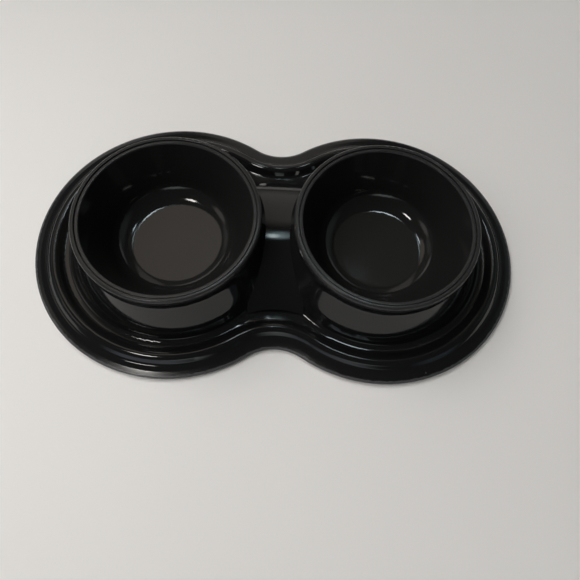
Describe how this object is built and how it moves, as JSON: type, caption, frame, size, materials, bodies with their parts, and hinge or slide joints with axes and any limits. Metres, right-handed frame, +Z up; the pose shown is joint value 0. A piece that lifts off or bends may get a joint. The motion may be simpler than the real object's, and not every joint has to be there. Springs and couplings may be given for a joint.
{
  "type": "double pet bowl",
  "caption": "Low figure-8 pet feeding station: moulded base with raised edge, trough and arched bridge, round lift-out bowls in satin rims, and rubber feet.",
  "frame": {"origin": "on the table under the feet, midway between the bowls", "axes": "+X from the left bowl to the right bowl, +Y to the back, +Z up out of the bowls"},
  "size_m": [0.356, 0.206, 0.044],
  "materials": {
    "base": "gloss black moulded plastic, with a satin grain on the rounded rims",
    "bowl": "gloss black moulded plastic",
    "foot": "matt black rubber"
  },
  "bodies": {
    "base": {"base_shell": "base", "foot_left_front": "foot", "foot_left_back": "foot", "foot_left_end": "foot", "foot_right_front": "foot", "foot_right_back": "foot", "foot_right_end": "foot"},
    "left_bowl": {"left_bowl": "bowl"},
    "right_bowl": {"right_bowl": "bowl"}
  },
  "joints": [
    {"name": "left_bowl_lift", "type": "slide", "parent": "base", "child": "left_bowl", "axis": [0, 0, 1], "range_m": [0, 0.06]},
    {"name": "right_bowl_lift", "type": "slide", "parent": "base", "child": "right_bowl", "axis": [0, 0, 1], "range_m": [0, 0.06]}
  ]
}
